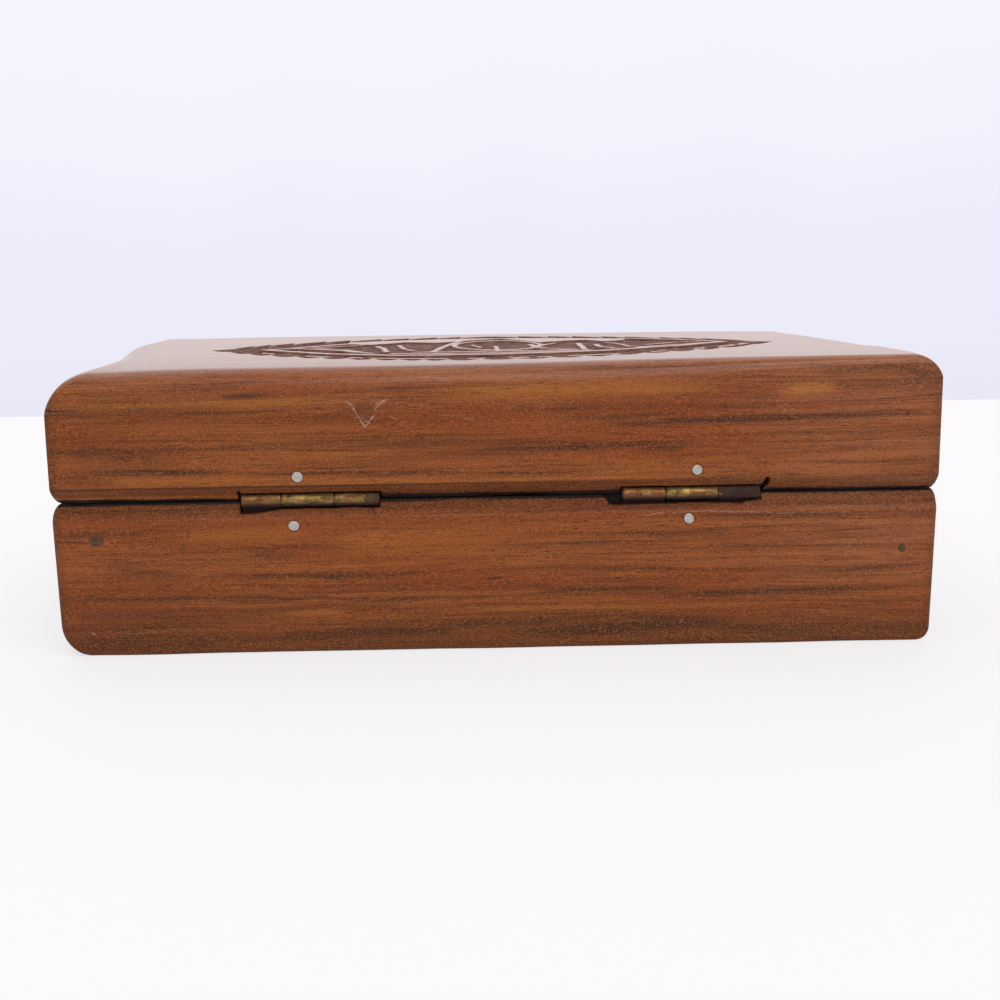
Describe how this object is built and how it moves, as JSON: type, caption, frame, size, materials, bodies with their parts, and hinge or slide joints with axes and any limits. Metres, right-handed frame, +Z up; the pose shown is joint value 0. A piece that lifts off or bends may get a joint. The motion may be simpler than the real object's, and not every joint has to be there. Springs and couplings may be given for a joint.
{
  "type": "trinket box",
  "caption": "Small rectangular wooden keepsake box with a hinged lid, brass barrel hinges and a carved pointed-oval medallion on top.",
  "frame": {"origin": "on the table, under the middle of the box's underside", "axes": "+X along the length to the owner's right, +Y to the back where the hinges are, +Z up"},
  "size_m": [0.1524, 0.1016, 0.0506],
  "materials": {
    "wood": "reddish-brown hardwood, satin wax finish",
    "floor_wood": "plain thin board, unpolished",
    "brass": "aged and tarnished",
    "steel": "filed flush, dull",
    "filler": "dark wood filler"
  },
  "bodies": {
    "base": {"base_back_board": "wood", "base_front_board": "wood", "base_left_board": "wood", "base_right_board": "wood", "base_floor_panel": "floor_wood", "base_corner_nails": "steel", "base_nail_plugs": "filler", "right_hinge_base_leaf": "brass", "right_hinge_pin": "steel", "right_hinge_base_nail": "steel", "left_hinge_base_leaf": "brass", "left_hinge_pin": "steel", "left_hinge_base_nail": "steel"},
    "lid": {"lid_top_board": "wood", "lid_back_board": "wood", "lid_front_board": "wood", "lid_left_board": "wood", "lid_right_board": "wood", "right_hinge_lid_leaf": "brass", "right_hinge_lid_nail": "steel", "left_hinge_lid_leaf": "brass", "left_hinge_lid_nail": "steel"}
  },
  "joints": [
    {"name": "lid_hinge", "type": "hinge", "parent": "base", "child": "lid", "pos_m": [0, 0.04955, 0.0268], "axis": [-1, 0, 0], "range_deg": [0, 110]}
  ]
}
